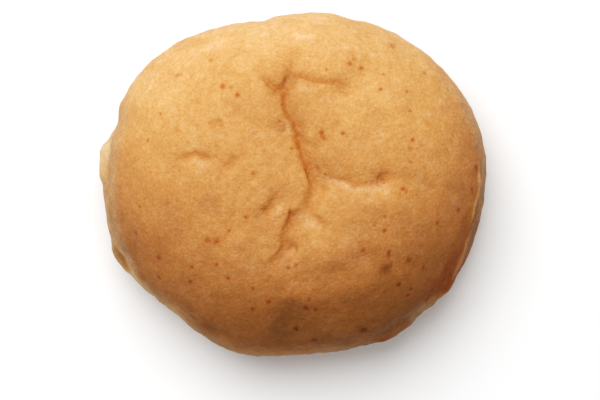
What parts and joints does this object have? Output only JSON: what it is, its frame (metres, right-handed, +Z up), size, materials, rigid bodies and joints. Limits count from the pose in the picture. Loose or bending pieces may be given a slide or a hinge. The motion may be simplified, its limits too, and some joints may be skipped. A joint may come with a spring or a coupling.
{
  "type": "slider bun",
  "caption": "Small soft bread bun, uncut: low oval golden crown with a puckered, creased top, paler bulging side and flat base.",
  "frame": {"origin": "on the flat base, under the middle of the bun's box", "axes": "+X along the bun's long way, +Z up from the base to the crown, -Y to the front"},
  "size_m": [0.081, 0.072, 0.034],
  "materials": {
    "crust": "golden brown bread crust, matt to satin, browner on the shoulders and paler on the side"
  },
  "bodies": {
    "root": {"bun": "crust"}
  },
  "joints": []
}
